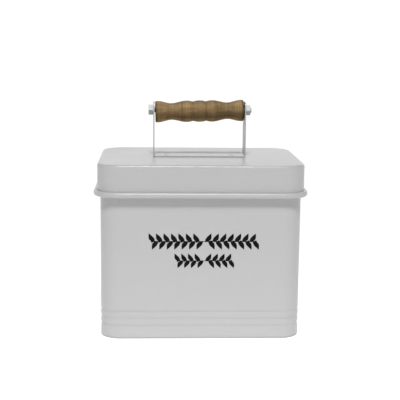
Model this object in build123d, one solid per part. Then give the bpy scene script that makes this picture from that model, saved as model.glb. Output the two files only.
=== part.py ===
"""Lidded storage box of white enamelled sheet steel, with a strap handle and a turned wooden grip.

Millimetres. The origin is at the middle of the bottom, +Z is up and the front faces -Y.
"""

import os
from math import acos, asin, ceil, cos, degrees, radians, sin, tan

from build123d import *

# Box wall: one strip of sheet, wrapped to a rounded rectangle
sheet = 0.6
box_length = 200.0
box_width = 150.0
box_corner = 20.0
box_height = 174.1
fold_height = 3.0
fold_radius = 0.7
fold_gap = 0.1

# Rolled grooves round the foot of the wall, with rounded ridges between them
groove_count = 3
groove_low = 12.6
groove_pitch = 7.2
groove_depth = 0.75
groove_radius = 0.5

# Lap seam down the middle of the back
seam_lap = 12.0
seam_gap = 0.4

# Floor: a pressed pan whose flange the wall's folded edge grips
floor_top = 5.0
floor_bend = 1.6

# Lid: one pressing with a wide rolled bead
lid_gap = 2.4
lid_seat_gap = 0.3
lid_depth = 32.3
lid_bend = 2.5
rim_clearance = 0.6
bead_width = 4.2
bead_height = 5.5
curl_gap = 0.12

# How far the flat facets of a bend or curl may stray from its true arc
facet_error = 0.15

# Handle strap: one flat strip, bent to a wide U and spot welded to the lid
strap_thickness = 1.2
strap_width = 24.0
strap_bend = 1.5
strap_corner = 6.0
ear_rise = 8.8
weld_diameter = 5.0
weld_depth = 0.2
weld_inset = 14.0
weld_spread = 11.0

# Rod and its two hexagon nuts
rod_diameter = 6.0
rod_rise = 48.0
rod_hole_gap = 0.2
rod_overhang = 1.3
rod_chamfer = 0.6
nut_sides = 6
nut_width = 10.0
nut_height = 5.0
nut_edge_angle = 30.0
thread_gap = 0.05

# Grip: turned wood, hanging loose on the rod with its right end a little higher
grip_length = 91.6
grip_end_gap = 0.8
grip_bead_diameter = 22.2
grip_end_diameter = 22.0
grip_waist_diameter = 17.1
grip_groove_diameter = 20.1
grip_bead_length = 13.6
grip_edge_radius = 1.4
grip_bore = 10.5
grip_running_gap = 0.1
grip_tilt_rise = 2.0
grip_second_bead_share = 0.295
grip_waist_share = 0.635
grip_end_bead_share = 0.93
bead_facets = 2
cove_facets = 3
edge_facets = 1

# How far cutting tools run past what they cut, and how far plates run into their rims
overrun = 1.0
plate_lap = 3.0

# Places worked out from the sizes above
lid_length = box_length + 2 * (lid_gap + sheet)
lid_width = box_width + 2 * (lid_gap + sheet)
lid_corner = box_corner + lid_gap + sheet
lid_top = box_height + lid_seat_gap + sheet
strap_length = grip_length + 2 * (grip_end_gap + strap_thickness)
rod_height = lid_top + rod_rise
ear_top = rod_height + ear_rise


def sheet_section(start, heading, steps, thickness):
    """The section of a bent sheet. Its right-hand face leaves start at heading, in degrees.

    Each step is a straight run, then a turn in degrees, to the left if positive, of a radius
    measured on that face. A turn is made of facets. The sheet lies to the left of it all.
    """
    legs = []
    for run, turn, radius in steps:
        legs.append((run, heading))
        if turn:
            widest = radius + (thickness if turn < 0 else 0)
            count = ceil(abs(turn) / degrees(2 * acos(max(1 - facet_error / widest, 0))))
            chord = 2 * radius * sin(radians(abs(turn) / count / 2))
            legs += [(chord, heading + (step + 0.5) * turn / count) for step in range(count)]
            heading += turn
    legs = [(length, angle) for length, angle in legs if length]

    right, left = [], []
    x, y = start
    before = legs[0][1]
    for length, after in legs + [(0, legs[-1][1])]:
        middle = radians((before + after) / 2)
        mitre = thickness / cos(radians((after - before) / 2))
        right.append((x, y))
        left.append((x - mitre * sin(middle), y + mitre * cos(middle)))
        x, y = x + length * cos(radians(after)), y + length * sin(radians(after))
        before = after
    return make_face(Polyline(*right, *reversed(left), close=True))


def straight_side(section, reach, run):
    """Extrudes a section, drawn as (out, up), along a side that faces +X at half of reach."""
    upright = Pos(reach / 2, 0, 0) * Rot(90, 0, 0) * section
    return extrude(upright, amount=run / 2, both=True)


def rounded_corner(section, reach, run, corner):
    """Turns the same section round the corner that follows that side."""
    upright = Pos(reach / 2, run / 2, 0) * Rot(90, 0, 0) * section
    return revolve(upright, Axis((reach / 2 - corner, run / 2, 0), (0, 0, 1)), 90)


def ring(section, length, width, corner):
    """Carries a section round a rounded rectangle, as four sides and four corners."""
    parts = []
    for quarter, (reach, across) in enumerate(((length, width), (width, length)) * 2):
        run = across - 2 * corner
        side = straight_side(section, reach, run)
        bend = rounded_corner(section, reach, run, corner)
        parts += [Rot(0, 0, 90 * quarter) * side, Rot(0, 0, 90 * quarter) * bend]
    return parts[0].fuse(*parts[1:]).clean()


def curl_sweep(inner_radius):
    """Degrees from the outermost point of a curl to its free edge, just clear of the sheet."""
    outer_radius = inner_radius + sheet
    return 90 + degrees(asin((inner_radius - curl_gap) / outer_radius))


def groove_steps(inset):
    """Steps up through the grooves, along a face that lies inset deep in the wall."""
    half_pitch = groove_pitch / 2
    spread = (half_pitch**2 + groove_depth**2) / (2 * groove_depth)
    slope = degrees(asin(half_pitch / spread))
    ridge = spread - groove_radius - inset
    valley = groove_radius + inset
    steps = [(0, slope, ridge), (0, -2 * slope, valley)]
    steps += [(0, 2 * slope, ridge), (0, -2 * slope, valley)] * (groove_count - 1)
    return steps + [(0, slope, ridge)]


def box_wall():
    """Wrapped wall with its folded foot, grooves, outward rim curl and lap seam."""
    rim_radius = (lid_gap + sheet - rim_clearance) / 2
    rim_centre = box_height - rim_radius
    groove_foot = groove_low - groove_pitch / 2
    groove_head = groove_foot + groove_count * groove_pitch
    fold_width = 3 * sheet + 2 * fold_gap
    section = sheet_section(
        (-fold_width, fold_height),
        -90,
        [
            (fold_height - fold_radius, 90, fold_radius),
            (fold_width - 2 * fold_radius, 90, fold_radius),
            (groove_foot - fold_radius, 0, 0),
            *groove_steps(0),
            (rim_centre - groove_head, -180 - curl_sweep(rim_radius - sheet), rim_radius - sheet),
        ],
        sheet,
    )
    wall = ring(section, box_length, box_width, box_corner)

    slit = Box(seam_gap, box_corner, box_height + 2 * overrun)
    wall -= Pos(seam_lap / 2, box_width / 2, box_height / 2) * slit
    mid_sheet = sheet / 2
    lap_foot = floor_top + fold_gap
    lap_section = sheet_section(
        (-mid_sheet, lap_foot),
        90,
        [
            (groove_foot - lap_foot, 0, 0),
            *groove_steps(mid_sheet),
            (rim_centre - groove_head, 0, 0),
        ],
        sheet + mid_sheet,
    )
    lap = Rot(0, 0, 90) * straight_side(lap_section, box_width, seam_lap + 2 * seam_gap)
    return wall + lap


def box_floor():
    """Floor pan, with its flange turned down into the wall's fold."""
    flange_foot = sheet + fold_gap
    flange_face = -(sheet + fold_gap)
    section = sheet_section(
        (flange_face, flange_foot),
        90,
        [(floor_top - floor_bend - flange_foot, 90, floor_bend), (plate_lap, 0, 0)],
        sheet,
    )
    inset = sheet + fold_gap + floor_bend
    plate = RectangleRounded(box_length - 2 * inset, box_width - 2 * inset, box_corner - inset)
    pan = Pos(0, 0, floor_top - sheet) * extrude(plate, amount=sheet)
    return ring(section, box_length, box_width, box_corner) + pan


def lid_shell():
    """Lid pressed from one sheet, its edge rolled outward to a tall bead."""
    inner_radius = bead_width / 2 - sheet
    straight = bead_height - bead_width
    bead_top_centre = lid_top - lid_depth + bead_height - bead_width / 2
    sweep = curl_sweep(inner_radius)
    free_edge = (
        inner_radius * (1 + cos(radians(sweep))),
        bead_top_centre + inner_radius * sin(radians(sweep)),
    )
    skirt_run = lid_top - lid_bend - bead_top_centre + straight
    section = sheet_section(
        free_edge,
        sweep - 90,
        [
            (0, -sweep, inner_radius),
            (straight, -180, inner_radius),
            (skirt_run, 90, lid_bend),
            (plate_lap, 0, 0),
        ],
        sheet,
    )
    plate = RectangleRounded(
        lid_length - 2 * lid_bend, lid_width - 2 * lid_bend, lid_corner - lid_bend
    )
    panel = Pos(0, 0, lid_top - sheet) * extrude(plate, amount=sheet)
    return ring(section, lid_length, lid_width, lid_corner) + panel


def handle_strap():
    """U-shaped strap with round-cornered ears, rod holes and spot-weld dimples in its foot."""
    bend = strap_bend + strap_thickness
    upright = ear_top - lid_top - bend
    section = sheet_section(
        (-strap_length / 2, ear_top),
        -90,
        [(upright, 90, bend), (strap_length - 2 * bend, 90, bend), (upright, 0, 0)],
        strap_thickness,
    )
    strap = extrude(Rot(90, 0, 0) * section, amount=strap_width / 2, both=True)
    ear_edges = strap.edges().filter_by(Axis.X).group_by(Axis.Z)[-1]
    strap = fillet(ear_edges, strap_corner)
    hole = Cylinder(rod_diameter / 2 + rod_hole_gap, strap_length + 2 * overrun)
    strap -= Pos(0, 0, rod_height) * Rot(0, 90, 0) * hole
    foot_top = lid_top + strap_thickness
    for end in (-1, 1):
        for side in (-1, 1):
            place = (end * (strap_length / 2 - weld_inset), side * weld_spread / 2)
            dimple = Cylinder(weld_diameter / 2, 2 * weld_depth)
            strap -= Pos(*place, foot_top) * dimple
    return strap


def grip_rod():
    """Steel rod through both ears, plain here for its thread, flush left and proud right."""
    left = -strap_length / 2 - nut_height
    right = strap_length / 2 + nut_height + rod_overhang
    rod = Rot(0, 90, 0) * Cylinder(rod_diameter / 2, right - left)
    rod = chamfer(rod.edges().filter_by(GeomType.CIRCLE), rod_chamfer)
    return Pos((left + right) / 2, 0, rod_height) * rod


def rod_nut(side):
    """Hexagon nut outside one ear, with a vertex towards the front and a turned outer edge."""
    hexagon = Rot(0, 0, 90) * RegularPolygon(nut_width / 2, nut_sides, major_radius=False)
    blank = extrude(hexagon, amount=nut_height)
    corner = nut_width / 2 / cos(radians(180 / nut_sides))
    drop = (corner - nut_width / 2) * tan(radians(nut_edge_angle))
    turned = Pos(0, 0, nut_height / 2) * Cylinder(corner, nut_height)
    turned = chamfer(
        turned.edges().filter_by(GeomType.CIRCLE).sort_by(Axis.Z)[-1],
        drop,
        corner - nut_width / 2,
        reference=turned.faces().filter_by(GeomType.CYLINDER)[0],
    )
    bore = Cylinder(rod_diameter / 2 + thread_gap, 2 * (nut_height + overrun))
    nut = (blank & turned) - bore
    return Pos(side * strap_length / 2, 0, rod_height) * Rot(0, side * 90, 0) * nut


def arc_radius(crest, foot):
    """Radius of an arc that is level at its crest and ends at its foot."""
    run, drop = abs(foot[0] - crest[0]), crest[1] - foot[1]
    return (run**2 + drop**2) / (2 * drop)


def facets(curve, count):
    """Chords along a curve, to be turned in place of it."""
    return Polyline(*(curve @ (step / count) for step in range(count + 1)))


def wooden_grip():
    """Turned grip: a middle bead between two longer ones, two waists and two end beads."""
    half = grip_length / 2
    groove = (grip_bead_length / 2, grip_groove_diameter / 2)
    middle = (0, grip_bead_diameter / 2)
    second = (half * grip_second_bead_share, grip_bead_diameter / 2)
    waist = (half * grip_waist_share, grip_waist_diameter / 2)
    end_bead = (half * grip_end_bead_share, grip_end_diameter / 2)
    edge = (half - grip_edge_radius, end_bead[1] - grip_edge_radius)
    level = ((1, 0), (1, 0))
    outline = [
        facets(RadiusArc(middle, groove, arc_radius(middle, groove)), bead_facets),
        facets(RadiusArc(groove, second, arc_radius(second, groove)), bead_facets),
        facets(Spline(second, waist, tangents=level), cove_facets),
        facets(Spline(waist, end_bead, tangents=level), cove_facets),
        Line(end_bead, (edge[0], end_bead[1])),
        facets(CenterArc(edge, grip_edge_radius, 90, -90), edge_facets),
        Polyline((half, edge[1]), (half, grip_bore / 2), (0, grip_bore / 2), middle),
    ]
    half_grip = revolve(make_face(outline), Axis.X)
    grip = half_grip + mirror(half_grip, Plane.YZ)
    hang = (grip_bore - rod_diameter) / 2 - grip_running_gap
    skew = degrees(asin(grip_tilt_rise / grip_length))
    return Pos(0, 0, rod_height - hang + grip_tilt_rise / 2) * Rot(0, -skew, 0) * grip


pieces = {
    "box_wall": box_wall(),
    "box_floor": box_floor(),
    "lid_shell": lid_shell(),
    "handle_strap": handle_strap(),
    "grip_rod": grip_rod(),
    "rod_nut_left": rod_nut(-1),
    "rod_nut_right": rod_nut(1),
    "wooden_grip": wooden_grip(),
}

os.makedirs("parts", exist_ok=True)
for name, solid in pieces.items():
    export_step(solid, f"parts/{name}.step")
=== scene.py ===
from math import asin, atan2, ceil, cos, degrees, exp, pi, radians, sin, tan

import bmesh
import bpy
from mathutils import Matrix, Vector


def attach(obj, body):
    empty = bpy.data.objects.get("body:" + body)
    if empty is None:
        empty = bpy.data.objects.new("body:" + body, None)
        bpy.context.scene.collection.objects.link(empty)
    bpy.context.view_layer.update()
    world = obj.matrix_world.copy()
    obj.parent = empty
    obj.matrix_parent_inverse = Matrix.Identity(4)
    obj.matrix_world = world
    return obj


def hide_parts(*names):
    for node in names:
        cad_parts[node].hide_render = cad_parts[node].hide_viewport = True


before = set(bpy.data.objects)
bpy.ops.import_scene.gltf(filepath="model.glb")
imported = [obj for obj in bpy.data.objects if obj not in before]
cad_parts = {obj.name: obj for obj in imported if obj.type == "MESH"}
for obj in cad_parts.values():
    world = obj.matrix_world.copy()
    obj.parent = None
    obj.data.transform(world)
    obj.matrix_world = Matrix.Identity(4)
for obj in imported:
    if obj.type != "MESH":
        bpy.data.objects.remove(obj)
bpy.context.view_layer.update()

# Box wall: one strip of 0.6 mm sheet steel wrapped to a rounded rectangle, its foot folded in
# round the floor, three grooves rolled in above it, its rim curled out, its ends lapped at the
# middle of the back. Dipped in white enamel. Sizes here and below are in millimetres.
mm = 0.001
sheet = 0.6
box_length = 200.0
box_width = 150.0
box_corner = 20.0
box_height = 174.1
fold_height = 3.0
fold_radius = 0.7
fold_gap = 0.1
groove_count = 3
groove_low = 12.6
groove_pitch = 7.2
groove_depth = 0.75
groove_radius = 0.5
rim_radius = 1.2
curl_gap = 0.12
seam_lap = 12.0
seam_gap = 0.4
lap_foot = 5.1
box_corner_steps = 18
noise_span = (0.3, 0.7)


def sheet_faces(start, heading, steps, thickness, turn_step=9.0):
    """Both faces of a bent sheet's section, as lists of (out, up), the right-hand one first.

    Each step is a straight run, then a turn in degrees, to the left if positive, of a radius
    measured on the right-hand face, drawn in chords of turn_step degrees at most.
    """
    legs = []
    for run, turn, radius in steps:
        legs.append((run, heading))
        count = ceil(abs(turn) / turn_step)
        for step in range(count):
            chord = 2 * radius * sin(radians(abs(turn) / count / 2))
            legs.append((chord, heading + (step + 0.5) * turn / count))
        heading += turn
    legs = [leg for leg in legs if leg[0]]
    right, left = [], []
    x, y = start
    before = legs[0][1]
    for run, after in legs + [(0, legs[-1][1])]:
        middle = radians((before + after) / 2)
        mitre = thickness / cos(radians((after - before) / 2))
        right.append((x, y))
        left.append((x - mitre * sin(middle), y + mitre * cos(middle)))
        x, y = x + run * cos(radians(after)), y + run * sin(radians(after))
        before = after
    return right, left


def curl_sweep(inner_radius):
    """Degrees from the outermost point of a curl to its free edge, just clear of the sheet."""
    return 90 + degrees(asin((inner_radius - curl_gap) / (inner_radius + sheet)))


def groove_steps(inset):
    """Steps up through the grooves, along a face that lies inset deep in the wall."""
    half_pitch = groove_pitch / 2
    spread = (half_pitch**2 + groove_depth**2) / (2 * groove_depth)
    slope = degrees(asin(half_pitch / spread))
    ridge = spread - groove_radius - inset
    valley = groove_radius + inset
    steps = [(0, slope, ridge), (0, -2 * slope, valley)]
    steps += [(0, 2 * slope, ridge), (0, -2 * slope, valley)] * (groove_count - 1)
    return steps + [(0, slope, ridge)]


def show(name, data):
    """A new object for a mesh, a curve, a lamp or a camera, at the origin."""
    made = bpy.data.objects.new(name, data)
    bpy.context.scene.collection.objects.link(made)
    return made


def section_object(name, points, closed):
    """A section as edges, drawn so that the sweep below carries it outward and upward."""
    mesh = bpy.data.meshes.new(name)
    links = [(k, k + 1) for k in range(len(points) - 1)]
    if closed:
        links.append((len(points) - 1, 0))
    mesh.from_pydata([(x * mm, -y * mm, 0.0) for x, y in points], links, [])
    return show(name, mesh)


def path_object(name, points, closed):
    """A straight-sided route in the ground plane."""
    curve = bpy.data.curves.new(name, "CURVE")
    curve.dimensions = "3D"
    spline = curve.splines.new("POLY")
    spline.points.add(len(points) - 1)
    for point, (x, y) in zip(spline.points, points):
        point.co = (x * mm, y * mm, 0.0, 1.0)
    spline.use_cyclic_u = closed
    return show(name, curve)


def wire(tree, node, inputs):
    """Links each of a node's inputs that is given a socket, and sets those given a value."""
    for name, value in inputs.items():
        if isinstance(value, bpy.types.NodeSocket):
            tree.links.new(value, node.inputs[name])
        else:
            node.inputs[name].default_value = value


def node_maker(tree):
    """A function that adds a node to this tree, with its settings, values and links."""
    def make(kind, inputs=None, **settings):
        made = tree.nodes.new(kind)
        for key, value in settings.items():
            setattr(made, key, value)
        wire(tree, made, inputs or {})
        return made
    return make


def new_tree(name, inputs, output):
    """A geometry node tree with these inputs: itself, its node maker and its input sockets."""
    tree = bpy.data.node_groups.new(name, "GeometryNodeTree")
    for label, kind in inputs:
        tree.interface.new_socket(label, in_out="INPUT", socket_type="NodeSocket" + kind)
    tree.interface.new_socket(output, in_out="OUTPUT", socket_type="NodeSocketGeometry")
    node = node_maker(tree)
    return tree, node, node("NodeGroupInput").outputs


def end_tree(node, geometry, finish, output):
    """Ends a tree with its geometry made real and given its finish."""
    real = node("GeometryNodeRealizeInstances", {"Geometry": geometry})
    finished = node("GeometryNodeSetMaterial", {"Geometry": real.outputs[0], "Material": finish})
    node("NodeGroupOutput", {output: finished.outputs[0]})


def sweep_tree():
    """Geometry nodes that carry the object's own section along a path with rounded corners."""
    tree, node, given = new_tree("sheet_sweep", (
        ("Section", "Geometry"), ("Path", "Object"), ("Corner", "Float"), ("Steps", "Int"),
        ("Finish", "Material")), "Sheet")
    route = node("GeometryNodeObjectInfo", {"Object": given["Path"]})
    rounded = node("GeometryNodeFilletCurve", {
        "Curve": route.outputs["Geometry"], "Count": given["Steps"],
        "Radius": given["Corner"]}, mode="POLY")
    level = node("GeometryNodeSetCurveNormal", {"Curve": rounded.outputs[0]}, mode="Z_UP")
    section = node("GeometryNodeMeshToCurve", {"Mesh": given["Section"]})
    swept = node("GeometryNodeCurveToMesh", {
        "Curve": level.outputs[0], "Profile Curve": section.outputs[0], "Fill Caps": True})
    end_tree(node, swept.outputs[0], given["Finish"], "Sheet")
    return tree


def grow(piece, tree, values):
    """Runs a geometry node tree on a piece and keeps what it makes as the piece's plain mesh."""
    modifier = piece.modifiers.new("grow", "NODES")
    modifier.node_group = tree
    for item in tree.interface.items_tree:
        if item.in_out == "INPUT" and item.name in values:
            modifier[item.identifier] = values[item.name]
    graph = bpy.context.evaluated_depsgraph_get()
    mesh = bpy.data.meshes.new_from_object(piece.evaluated_get(graph), depsgraph=graph)
    piece.modifiers.remove(modifier)
    piece.data = mesh


def close_up(mesh, crease):
    """Merges doubles, closes open rings, turns normals out and keeps edges over crease degrees."""
    made = bmesh.new()
    made.from_mesh(mesh)
    bmesh.ops.remove_doubles(made, verts=made.verts, dist=0.01 * mm)
    bmesh.ops.holes_fill(made, edges=[edge for edge in made.edges if edge.is_boundary], sides=0)
    bmesh.ops.recalc_face_normals(made, faces=made.faces)
    for face in made.faces:
        face.smooth = True
    for edge in made.edges:
        edge.smooth = edge.calc_face_angle(0.0) < radians(crease)
    made.to_mesh(mesh)
    made.free()


def new_finish(name):
    """A material: itself, its shader, its node maker and a point's place on the piece, in metres."""
    made = bpy.data.materials.new(name)
    made.use_nodes = True
    node = node_maker(made.node_tree)
    place = node("ShaderNodeTexCoord").outputs["Object"]
    return made, made.node_tree.nodes["Principled BSDF"], node, place


def noise(node, place, **sizes):
    """Blotches from 0 to 1, mostly inside noise_span. Scale is about how many lie in a metre."""
    return node("ShaderNodeTexNoise", {"Vector": place, **sizes}).outputs["Fac"]


def mapped(node, value, span, onto):
    """Carries a value from one span onto another, and stops at both ends."""
    return node("ShaderNodeMapRange", {
        "Value": value, "From Min": span[0], "From Max": span[1],
        "To Min": onto[0], "To Max": onto[1]}).outputs[0]


def product(node, one, two):
    """Two values multiplied."""
    return node("ShaderNodeMath", {0: one, 1: two}, operation="MULTIPLY").outputs[0]


def toned(node, colour, tone):
    """A colour made lighter or darker by a value that varies over the piece."""
    return node("ShaderNodeVectorMath", {0: colour, "Scale": tone}, operation="SCALE").outputs[0]


def relief(node, height, depth, **more):
    """A skin that stands depth millimetres higher where height is 1 than where it is 0."""
    return node("ShaderNodeBump", {"Height": height, "Distance": depth * mm, **more}).outputs[0]


def enamel(name, tint, shaded_below=None, beaded_at=None):
    """White enamel: a wavy, faintly pitted glossy coat, a little uneven in tone.

    With a foot height, the coat gets painted shade: darker toward the rim, where less floor light
    reaches, and along the foot, where the fold turns under.
    With beaded_at, it has drawn into small beads along a bend at that height.
    """
    made, coat, node, place = new_finish(name)
    cloud = noise(node, place, Scale=26.0, Detail=8.0, Roughness=0.72)
    fleck = noise(node, place, Scale=420.0, Detail=2.0)
    wave = noise(node, place, Scale=22.0, Detail=1.0)
    peel = noise(node, place, Scale=650.0, Detail=2.0)
    mottle = mapped(node, cloud, noise_span, (0.992, 1.008))
    pits = mapped(node, fleck, (0.24, 0.3), (0.9, 1.0))
    tone = product(node, mottle, pits)
    # Painted shade: the coat darker toward the rim, where less light comes up from the floor, and
    # along the foot, where the fold turns under.
    if shaded_below:
        height = node("ShaderNodeSeparateXYZ", {"Vector": place}).outputs["Z"]
        foot_shade = mapped(node, height, (0.0, shaded_below * mm), (0.64, 1.0))
        rim_shade = mapped(node, height, (20 * mm, 150 * mm), (1.0, 0.955))
        tone = product(node, product(node, tone, foot_shade), rim_shade)
    skin = relief(node, peel, 0.012, Normal=relief(node, wave, 0.15))
    if beaded_at:
        height = node("ShaderNodeSeparateXYZ", {"Vector": place}).outputs["Z"]
        beads = noise(node, place, Scale=170.0, Detail=3.0, Roughness=0.6)
        above = node("ShaderNodeMath", {0: height, 1: beaded_at * mm}, operation="SUBTRACT")
        away = node("ShaderNodeMath", {0: above.outputs[0]}, operation="ABSOLUTE")
        near = mapped(node, away.outputs[0], (0.4 * mm, 1.4 * mm), (1.0, 0.0))
        skin = relief(node, beads, 0.6, Strength=near, Normal=skin)
    wire(made.node_tree, coat, {
        "Base Color": toned(node, tint, tone),
        "Roughness": mapped(node, cloud, noise_span, (0.29, 0.37)),
        "Normal": skin,
        "IOR": 1.5,
    })
    return made


groove_foot = groove_low - groove_pitch / 2
groove_head = groove_foot + groove_count * groove_pitch
rim_centre = box_height - rim_radius
fold_width = 3 * sheet + 2 * fold_gap
outside, inside = sheet_faces((-fold_width, fold_height), -90, [
    (fold_height - fold_radius, 90, fold_radius),
    (fold_width - 2 * fold_radius, 90, fold_radius),
    (groove_foot - fold_radius, 0, 0),
    *groove_steps(0),
    (rim_centre - groove_head, -180 - curl_sweep(rim_radius - sheet), rim_radius - sheet),
], sheet)
sheet_sweep = sweep_tree()
# The wall's coat gets painted shade along its foot and toward its rim.
wall_enamel = enamel("wall_enamel", (0.499, 0.499, 0.501), shaded_below=2.2)
side = box_length / 2
front = box_width / 2
seam = (seam_lap + seam_gap) / 2
box_path = path_object("box_path", [
    (seam - seam_gap, front), (-side, front), (-side, -front), (side, -front), (side, front),
    (seam, front)], False)
box_wall = section_object("enamelled_wall", outside + inside[::-1], True)
grow(box_wall, sheet_sweep, {
    "Path": box_path, "Corner": box_corner * mm, "Steps": box_corner_steps, "Finish": wall_enamel})
close_up(box_wall.data, crease=40)
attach(box_wall, "box")
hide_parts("box_wall")

# Lap: the wall strip's other end, of the same enamelled sheet, which runs on behind the outer
# one at the middle of the back, from the pan up to the curl. It is drawn half a sheet deep in
# the outer one, where the enamel bonds the two.
behind, ahead = sheet_faces((-sheet / 2, lap_foot), 90, [
    (groove_foot - lap_foot, 0, 0),
    *groove_steps(sheet / 2),
    (rim_centre - groove_head, 0, 0),
], 1.5 * sheet)
lap_path = path_object("lap_path", [(seam + seam_gap, front), (-seam, front)], False)
box_lap = section_object("wall_lap", behind + ahead[::-1], True)
grow(box_lap, sheet_sweep, {
    "Path": lap_path, "Corner": 0.0, "Steps": 1, "Finish": wall_enamel})
close_up(box_lap.data, crease=40)
for spare in (box_path, lap_path):
    bpy.data.objects.remove(spare)
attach(box_lap, "box")

# Box floor: a shallow pressed pan, its flange turned down into the wall's fold and held there.
# The frame's own solid, in the same enamel.


def refinish(node_name, finish):
    """Gives the frame's own solid a new finish."""
    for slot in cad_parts[node_name].material_slots:
        slot.material = finish


refinish("box_floor", enamel("floor_enamel", (0.5, 0.5, 0.502)))

# Lid: one pressing of the same sheet with a soft top edge, a straight skirt and its lower edge
# rolled outward to a tall hollow bead. White enamel; it lies on the box's curled rim.
lid_length = 206.0
lid_width = 156.0
lid_corner = 23.0
lid_top = 175.0
lid_depth = 32.3
lid_bend = 2.5
plate_lap = 0.8
bead_width = 4.2
bead_height = 5.5
lid_corner_steps = 20
beading_depth = 1.4
inner_radius = bead_width / 2 - sheet
sweep = curl_sweep(inner_radius)
bead_centre = lid_top - lid_depth + bead_height - bead_width / 2
bead_straight = bead_height - bead_width
free_edge = (
    inner_radius * (1 + cos(radians(sweep))), bead_centre + inner_radius * sin(radians(sweep)))
outside, inside = sheet_faces(free_edge, sweep - 90, [
    (0, -sweep, inner_radius),
    (bead_straight, -180, inner_radius),
    (lid_top - lid_bend - bead_centre + bead_straight, 90, lid_bend),
    (plate_lap, 0, 0),
], sheet)
# Its tint is a little darker than the wall's: painted shade, since the skirt gets less light from
# the floor than the wall does.
lid_enamel = enamel("lid_enamel", (0.462, 0.462, 0.464), beaded_at=lid_top - beading_depth)
side = lid_length / 2
front = lid_width / 2
lid_path = path_object(
    "lid_path", [(-side, -front), (side, -front), (side, front), (-side, front)], True)
lid_shell = section_object("enamelled_lid", outside[::-1] + inside, False)
grow(lid_shell, sheet_sweep, {
    "Path": lid_path, "Corner": lid_corner * mm, "Steps": lid_corner_steps, "Finish": lid_enamel})
close_up(lid_shell.data, crease=40)
bpy.data.objects.remove(lid_path)
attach(lid_shell, "lid")
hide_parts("lid_shell")

# Handle strap: a flat steel strip bent to a wide U, enamelled with the lid, with rounded ears
# for the rod and four spot welds in its foot. The frame's own solid.
# Its tint is darker than the lid's: a greyer coat, and painted shade for the posts, which stand in
# shade.
refinish("handle_strap", enamel("strap_enamel", (0.42, 0.42, 0.422)))

# Rod: M6 studding of steel through both ears and the grip, its thread rolled along the whole
# length, its ends chamfered, in a dull zinc plate.
rod_height = 223.0
rod_left = -52.8
rod_right = 54.1
rod_edge = 0.3
rod_sides = 32
thread_core = 2.5
thread_crest = 2.98
thread_pitch = 1.0
thread_inset = 0.4
thread_turn_steps = 20


def zinc(name, shade):
    """Dull zinc plate: cool, faintly mottled and a little rough."""
    made, plate, node, place = new_finish(name)
    mottle = noise(node, place, Scale=600.0, Detail=4.0)
    wire(made.node_tree, plate, {
        "Base Color": toned(node, shade, mapped(node, mottle, noise_span, (0.86, 1.05))),
        "Roughness": mapped(node, mottle, noise_span, (0.5, 0.65)),
        "Normal": relief(node, mottle, 0.03),
        "Metallic": 0.1,
    })
    return made


def thread_tree():
    """Geometry nodes that wind a ridge round a core, along X."""
    tree, node, given = new_tree("thread", (
        ("Core", "Geometry"), ("Turns", "Float"), ("Radius", "Float"), ("Length", "Float"),
        ("Depth", "Float"), ("Start", "Vector"), ("Finish", "Material")), "Rod")
    wound = node("GeometryNodeCurveSpiral", {
        "Resolution": thread_turn_steps, "Rotations": given["Turns"],
        "Start Radius": given["Radius"], "End Radius": given["Radius"],
        "Height": given["Length"]})
    section = node("GeometryNodeCurvePrimitiveCircle", {"Resolution": 4, "Radius": given["Depth"]})
    ridge = node("GeometryNodeCurveToMesh", {
        "Curve": wound.outputs[0], "Profile Curve": section.outputs[0], "Fill Caps": True})
    laid = node("GeometryNodeTransform", {
        "Geometry": ridge.outputs[0], "Translation": given["Start"],
        "Rotation": (0.0, pi / 2, 0.0)})
    joined = node("GeometryNodeJoinGeometry")
    tree.links.new(given["Core"], joined.inputs[0])
    tree.links.new(laid.outputs[0], joined.inputs[0])
    end_tree(node, joined.outputs[0], given["Finish"], "Rod")
    return tree


def turned(outline, count):
    """A mesh turned about the X axis from (along, radius) points, closed where the radius is 0."""
    made = bmesh.new()
    rings = []
    for along, radius in outline:
        ring = []
        for step in range(count if radius else 1):
            angle = 2 * pi * step / count
            ring.append(made.verts.new((
                along * mm, radius * cos(angle) * mm, radius * sin(angle) * mm)))
        rings.append(ring)
    for one, two in zip(rings, rings[1:]):
        for step in range(count):
            after = (step + 1) % count
            if len(one) == 1:
                made.faces.new((one[0], two[step], two[after]))
            elif len(two) == 1:
                made.faces.new((one[step], two[0], one[after]))
            else:
                made.faces.new((one[step], two[step], two[after], one[after]))
    mesh = bpy.data.meshes.new("turned")
    bmesh.ops.recalc_face_normals(made, faces=made.faces)
    made.to_mesh(mesh)
    made.free()
    return mesh


core = turned([
    (rod_left, 0), (rod_left, thread_core - rod_edge), (rod_left + rod_edge, thread_core),
    (rod_right - rod_edge, thread_core), (rod_right, thread_core - rod_edge), (rod_right, 0),
], rod_sides)
thread_run = rod_right - rod_left - 2 * thread_inset
rod = show("threaded_rod", core)
grow(rod, thread_tree(), {
    "Turns": thread_run / thread_pitch, "Radius": thread_core * mm, "Length": thread_run * mm,
    "Depth": (thread_crest - thread_core) * mm,
    "Start": ((rod_left + thread_inset) * mm, 0.0, 0.0),
    "Finish": zinc("zinc_rod", (0.46, 0.465, 0.47))})
rod.data.transform(Matrix.Translation((0.0, 0.0, rod_height * mm)))
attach(rod, "lid")
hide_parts("grip_rod")

# Nuts: two M6 hexagon nuts of steel, screwed on the rod outside the ears, cold formed, their
# corners turned to 30 degrees on both faces. The same zinc plate, a little brighter.
ear_face = 47.8
nut_flats = 10.0
nut_height = 5.0
nut_bore_radius = 3.04
nut_face_inset = 0.15
nut_face_slope = radians(30)
nut_steps = 72
zinc_nut = zinc("zinc_nut", (0.54, 0.545, 0.55))


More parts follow.
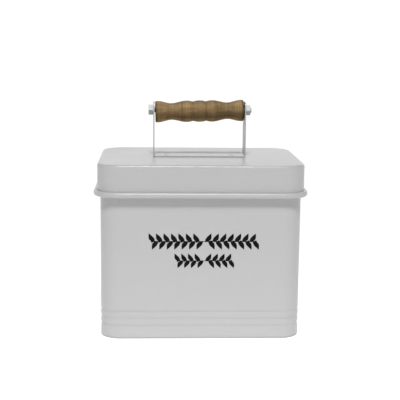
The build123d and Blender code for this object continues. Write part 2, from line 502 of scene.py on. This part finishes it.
def hexagon_nut(name, outward):
    """A nut outside one ear: a section carried round the rod, which reaches out at each corner."""
    flat = nut_flats / 2
    made = bmesh.new()
    sections = []
    for step in range(nut_steps):
        angle = 2 * pi * step / nut_steps
        reach = flat / cos((angle + pi / 6) % (pi / 3) - pi / 6)
        cut = (reach - flat + nut_face_inset) * tan(nut_face_slope)
        outline = [
            (0.0, flat - nut_face_inset), (cut, reach), (nut_height - cut, reach),
            (nut_height, flat - nut_face_inset), (nut_height, nut_bore_radius),
            (0.0, nut_bore_radius)]
        sections.append([made.verts.new((
            outward * (ear_face + out) * mm, radius * sin(angle) * mm,
            (rod_height + radius * cos(angle)) * mm)) for out, radius in outline])
    for one, two in zip(sections, sections[1:] + sections[:1]):
        for k in range(len(one)):
            made.faces.new((one[k - 1], two[k - 1], two[k], one[k]))
    mesh = bpy.data.meshes.new(name)
    made.to_mesh(mesh)
    made.free()
    close_up(mesh, crease=12)
    mesh.materials.append(zinc_nut)
    return show(name, mesh)


for end, outward in (("left", -1), ("right", 1)):
    nut = hexagon_nut("nut_" + end, outward)
    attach(nut, "lid")
    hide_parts("rod_nut_" + end)

# Grip: beech turned to three beads between two waists and two end beads, stained brown, thinly
# oiled and bored loose, so that it hangs on the rod with its right end a little higher.
grip_half = 45.8
grip_bore_radius = 5.25
grip_edge = 1.4
grip_height = 221.85
grip_rise = 2.0
bead_radius = 11.1
end_radius = 11.0
waist_radius = 8.55
cut_radius = 10.05
bead_half = 6.8
second_bead = grip_half * 0.295
waist_at = grip_half * 0.635
end_bead = grip_half * 0.93
outer_cut = second_bead + 4.5
second_crest = 12.5
end_crest = grip_half - 7
grip_edge_steps = 6
grip_steps = 220
grip_sides = 96


def eased(share):
    """From 0 to 1, level at both ends."""
    return share**2 * (3 - 2 * share)


def grip_radius(along):
    """The turned radius at a distance from the middle."""
    along = abs(along)
    if along < second_bead:
        crest = 0.0 if along < bead_half else second_bead
        reach = abs(crest - bead_half)
        drop = bead_radius - cut_radius
        arc = (reach**2 + drop**2) / (2 * drop)
        return bead_radius - arc + (arc**2 - (along - crest) ** 2) ** 0.5
    if along < waist_at:
        share = (along - second_bead) / (waist_at - second_bead)
        return bead_radius + (waist_radius - bead_radius) * eased(share)
    if along < end_bead:
        share = (along - waist_at) / (end_bead - waist_at)
        return waist_radius + (end_radius - waist_radius) * eased(share)
    return end_radius


def edge_points():
    """The rounded edge at the right end, as (along, radius), from the face inward."""
    angles = [pi / 2 * step / grip_edge_steps for step in range(grip_edge_steps)]
    return [(grip_half - grip_edge * (1 - cos(angle)), end_radius - grip_edge * (1 - sin(angle)))
            for angle in angles]


def ringed(along, place, reach):
    """A mark round the grip: 1 at its own place along it, 0 from reach away."""
    return max(0.0, 1 - abs(along - place) / reach)


def streaked(lean, place, width):
    """A mark along the grip: 1 at its own lean, fading over about width degrees."""
    return exp(-((lean - place) / width) ** 2)


def tone_with_painted_light(along, lean):
    """The wood's tone, by the distance from its middle and the degrees above its front: darker at
    the cuts, paler at two crests, painted shade at both ends, and painted shade and light by the
    lean.
    """
    ring_tone = 1.0
    # Darker at the cuts beside the middle bead and the second bead.
    ring_tone -= 0.45 * ringed(along, place=bead_half, reach=0.7)
    ring_tone -= 0.25 * ringed(along, place=outer_cut, reach=1.2)
    # Paler at the second and end crests: painted sheen where they catch the light, with some
    # rubbing.
    ring_tone += 0.2 * ringed(along, place=second_crest, reach=4.0)
    ring_tone += 0.25 * ringed(along, place=end_crest, reach=7.0)
    # Painted shade at both ends, in the narrow gaps at the ears.
    ring_tone -= 0.85 * ringed(along, place=grip_half, reach=2.6)
    # Painted shade on the lower front, painted light bounced up onto the underside and painted light
    # on the top, by the lean.
    painted_front_shade = 0.26 * streaked(lean, place=-24, width=18)
    painted_bounce_light = 1.1 * streaked(lean, place=-70, width=20)
    painted_top_light = 0.4 * streaked(lean, place=66, width=38)
    return ring_tone * (1 - painted_front_shade + painted_bounce_light) * (1 + painted_top_light)


def wood(name):
    """Stained beech: grain and pores along X, tool lines round it, painted shade and light, and
    paler and greyer where lit and on rubbed crests, a painted sheen.
    """
    made, timber, node, place = new_finish(name)
    drawn = node("ShaderNodeMapping", {"Vector": place, "Scale": (0.1, 1.0, 1.0)}).outputs[0]
    spun = node("ShaderNodeMapping", {"Vector": place, "Scale": (1.0, 0.02, 0.02)}).outputs[0]
    grain = noise(node, drawn, Scale=320.0, Detail=6.0, Roughness=0.65, Distortion=0.4)
    bands = noise(node, drawn, Scale=90.0, Detail=3.0)
    pore = noise(node, drawn, Scale=1500.0, Detail=2.0)
    chatter = noise(node, spun, Scale=520.0, Detail=3.0)
    light_wear_layer = node("ShaderNodeAttribute", attribute_name="painted_light_and_wear").outputs["Fac"]
    ramp = node("ShaderNodeValToRGB", {"Fac": grain})
    dark, pale = ramp.color_ramp.elements
    dark.position = 0.22
    dark.color = (0.104, 0.06, 0.019, 1)
    pale.position = 0.78
    pale.color = (0.264, 0.169, 0.062, 1)
    tone = product(node, mapped(node, bands, (0.35, 0.65), (0.75, 1.12)),
                   mapped(node, pore, (0.3, 0.42), (0.6, 1.0)))
    tone = product(node, tone, mapped(node, chatter, (0.35, 0.65), (0.86, 1.1)))
    shaded_stain = toned(node, ramp.outputs[0], product(node, tone, light_wear_layer))
    # A Mix node's colour sockets have numbers: 6 for the shaded end, 7 for the lit and rubbed end, 2
    # out. The lit end is greyer and cooler: painted sheen.
    painted_sheen_tint = node("ShaderNodeMix", {
        0: mapped(node, light_wear_layer, (0.85, 1.45), (0.0, 1.0)),
        6: (1.02, 0.94, 0.78, 1), 7: (0.98, 1.02, 1.18, 1)}, data_type="RGBA").outputs[2]
    sheened_stain = node("ShaderNodeVectorMath", {0: shaded_stain, 1: painted_sheen_tint}, operation="MULTIPLY")
    wire(made.node_tree, timber, {
        "Base Color": sheened_stain.outputs[0],
        "Roughness": mapped(node, grain, noise_span, (0.75, 0.62)),
        "Normal": relief(node, grain, 0.12),
    })
    return made


edge = edge_points()
body = [(grip_half - grip_edge) * (2 * step / grip_steps - 1) for step in range(grip_steps + 1)]
outline = [(-grip_half, grip_bore_radius)] + [(-along, radius) for along, radius in edge]
outline += [(along, grip_radius(along)) for along in body] + edge[::-1]
outline += [(grip_half, grip_bore_radius), (-grip_half, grip_bore_radius)]
grip_mesh = turned(outline, grip_sides)
grip_mesh.materials.append(wood("oiled_beech"))
# Each point's tone, kept on the mesh: mostly painted shade and light, with a little wear.
painted_light_and_wear = grip_mesh.attributes.new("painted_light_and_wear", "FLOAT", "POINT")
for vertex in grip_mesh.vertices:
    lean = degrees(atan2(vertex.co.z, -vertex.co.y))
    painted_light_and_wear.data[vertex.index].value = tone_with_painted_light(abs(vertex.co.x) / mm, lean)
grip_skew = asin(grip_rise / (2 * grip_half))
grip_mesh.transform(
    Matrix.Translation((0, 0, grip_height * mm)) @ Matrix.Rotation(-grip_skew, 4, "Y"))
close_up(grip_mesh, crease=50)
grip = show("turned_grip", grip_mesh)
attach(grip, "grip")
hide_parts("wooden_grip")

# Ornament: two laurel rows in black on the front, each growing both ways from its middle,
# screen printed on the enamel and fired into it.
print_depth = 0.05
sprig_pitch = 7.4
stem_half = 0.42
stem_tail = 0.6
leaf_length = 10.3
leaf_half = 2.3
leaf_bow = 1.1
leaf_lean = radians(54)
leaf_fullness = 0.8
leaf_steps = 14
upper_leaf_start = 0.4
berry_radius = 1.15
berry_inset = 0.9
berry_sides = 16
arm_start = 0.8
rows = {
    "upper": {"middle": 2.6, "height": 99.2, "count": 7, "size": 0.99},
    "lower": {"middle": 3.2, "height": 79.7, "count": 4, "size": 0.895},
}


def leaf(start, above):
    """The outline of a bowed leaf that leaves the stem at start, above it (1) or below it (-1)."""
    points = []
    for edge, steps in ((1, range(leaf_steps)), (-1, range(leaf_steps, 0, -1))):
        for step in steps:
            share = step / leaf_steps
            along = leaf_length * share
            aside = edge * leaf_half * sin(pi * share**leaf_fullness) - leaf_bow * sin(pi * share)
            points.append((start + along * cos(leaf_lean) - aside * sin(leaf_lean),
                           above * (along * sin(leaf_lean) + aside * cos(leaf_lean))))
    return points


def sprig_mesh():
    """One step of the laurel, flat in X and Z: a length of stem, two leaves and a berry."""
    berry = []
    for step in range(berry_sides):
        angle = 2 * pi * step / berry_sides
        berry.append((
            sprig_pitch - berry_inset + berry_radius * cos(angle), berry_radius * sin(angle)))
    stem = [(-stem_tail, -stem_half), (sprig_pitch, -stem_half), (sprig_pitch, stem_half),
            (-stem_tail, stem_half)]
    made = bmesh.new()
    for patch in (stem, leaf(upper_leaf_start, 1), leaf(sprig_pitch / 2, -1), berry):
        made.faces.new([made.verts.new((x * mm, 0.0, z * mm)) for x, z in patch])
    mesh = bpy.data.meshes.new("sprig")
    made.to_mesh(mesh)
    made.free()
    return mesh


def laurel_tree(arms):
    """Geometry nodes that set copies of the object's own mesh out in a line for each arm."""
    inputs = [("Unit", "Geometry"), ("Finish", "Material")]
    for arm in arms:
        inputs += [(arm + " count", "Int"), (arm + " start", "Vector"), (arm + " step", "Vector"),
                   (arm + " turn", "Vector"), (arm + " size", "Float")]
    tree, node, given = new_tree("laurel_rows", inputs, "Rows")
    joined = node("GeometryNodeJoinGeometry")
    for arm in arms:
        line = node("GeometryNodeMeshLine", {
            "Count": given[arm + " count"], "Start Location": given[arm + " start"],
            "Offset": given[arm + " step"]})
        laid = node("GeometryNodeInstanceOnPoints", {
            "Points": line.outputs[0], "Instance": given["Unit"],
            "Rotation": given[arm + " turn"], "Scale": given[arm + " size"]})
        tree.links.new(laid.outputs[0], joined.inputs[0])
    end_tree(node, joined.outputs[0], given["Finish"], "Rows")
    return tree


def print_ink(name):
    """Fired black ink: slightly thin in places, less glossy than the coat round it."""
    made, ink, node, place = new_finish(name)
    thin = noise(node, place, Scale=500.0, Detail=4.0)
    tone = mapped(node, thin, (0.35, 0.75), (0.7, 2.2))
    wire(made.node_tree, ink, {
        "Base Color": toned(node, (0.003, 0.003, 0.0033), tone),
        "Roughness": 0.5,
        "Specular IOR Level": 0.1,
        "Normal": relief(node, thin, 0.01),
    })
    return made


def stand_on_front(mesh):
    """Sets the flat print on the wall's front and gives it its thickness."""
    made = bmesh.new()
    made.from_mesh(mesh)
    raised = bmesh.ops.extrude_face_region(made, geom=made.faces[:])["geom"]
    for vertex in made.verts:
        vertex.co.y = -box_width / 2 * mm
    for vertex in raised:
        if isinstance(vertex, bmesh.types.BMVert):
            vertex.co.y -= print_depth * mm
    bmesh.ops.recalc_face_normals(made, faces=made.faces)
    made.to_mesh(mesh)
    made.free()


arms = []
values = {"Finish": print_ink("fired_ink")}
for name, row in rows.items():
    for way, sign in (("right", 1), ("left", -1)):
        arm = name + " " + way
        arms.append(arm)
        start = row["middle"] + sign * arm_start
        values[arm + " count"] = row["count"]
        values[arm + " start"] = (start * mm, 0.0, row["height"] * mm)
        values[arm + " step"] = (sign * sprig_pitch * row["size"] * mm, 0.0, 0.0)
        values[arm + " turn"] = (0.0, 0.0 if sign > 0 else pi, 0.0)
        values[arm + " size"] = row["size"]
ornament = show("printed_ornament", sprig_mesh())
grow(ornament, laurel_tree(arms), values)
stand_on_front(ornament.data)
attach(ornament, "box")

# Stage: a wide white floor with a pool of light round the box, a pale studio sky that is
# brightest behind, a large soft lamp high in front, and the camera at the photograph's place.
# Lengths are in metres here.
floor_half = 40
pool_span = (0.18, 0.6)
pool_glow = (0.26, 0.13)
lamp_spread = radians(12)
lamp_strength = 2.66
lamp_from = Vector((-0.05, -1.0, 1.74))
sky_front = 0.25
sky_side = 0.06
sky_back = 1.16
sky_top = 0.12
sky_rim = 1.03
yaw = radians(-2.55)
pitch = radians(9.55)
roll = radians(0.6)
aim = Vector((0.0016, 0.0, 0.1281))
distance = 1.0552

paper, surface, node, place = new_finish("white_paper")
fibre = noise(node, place, Scale=0.5, Detail=3.0)
reach = node("ShaderNodeVectorMath", {0: place}, operation="LENGTH").outputs["Value"]
wire(paper.node_tree, surface, {
    "Base Color": mapped(node, fibre, (0.0, 1.0), (0.93, 0.96)),
    "Roughness": 0.9,
    "Emission Color": (1, 1, 1, 1),
    "Emission Strength": mapped(node, reach, pool_span, pool_glow),
})
floor_mesh = bpy.data.meshes.new("floor")
floor_mesh.from_pydata(
    [(x * floor_half, y * floor_half, 0) for x, y in ((-1, -1), (1, -1), (1, 1), (-1, 1))],
    [], [(0, 1, 2, 3)])
floor_mesh.materials.append(paper)
show("floor", floor_mesh)

sky = bpy.data.worlds.new("studio")
sky.use_nodes = True
bpy.context.scene.world = sky
node = node_maker(sky.node_tree)
outlook = node("ShaderNodeTexCoord").outputs["Generated"]
toward = node("ShaderNodeSeparateXYZ", {"Vector": outlook}).outputs
sides = mapped(node, toward["Y"], (-0.6, -0.1), (sky_front, sky_side))
round_about = mapped(node, toward["Y"], (0.55, 0.85), (sides, sky_back))
above = mapped(node, toward["Z"], (0.55, 0.95), (round_about, sky_top))
wire(sky.node_tree, sky.node_tree.nodes["Background"], {
    "Color": (1, 1, 1, 1),
    "Strength": mapped(node, toward["Z"], (0.045, 0.075), (sky_rim, above)),
})

lamp = bpy.data.lights.new("soft_lamp", "SUN")
lamp.angle = lamp_spread
lamp.energy = lamp_strength
lamp_turn = (-lamp_from).to_track_quat("-Z", "Y").to_matrix().to_4x4()
lamp_object = show("soft_lamp", lamp)
lamp_object.matrix_world = Matrix.Translation(lamp_from) @ lamp_turn

back = Vector((sin(yaw) * cos(pitch), -cos(yaw) * cos(pitch), sin(pitch)))
right = Vector((cos(yaw), sin(yaw), 0.0))
up = back.cross(right)
right, up = cos(roll) * right + sin(roll) * up, cos(roll) * up - sin(roll) * right
camera = bpy.data.cameras.new("camera")
camera.lens = 90.0
camera.sensor_width = 36.0
camera_turn = Matrix((right, up, back)).transposed().to_4x4()
camera_object = show("camera", camera)
camera_object.matrix_world = Matrix.Translation(aim + back * distance) @ camera_turn
bpy.context.scene.camera = camera_object
bpy.context.scene.view_settings.view_transform = "Standard"
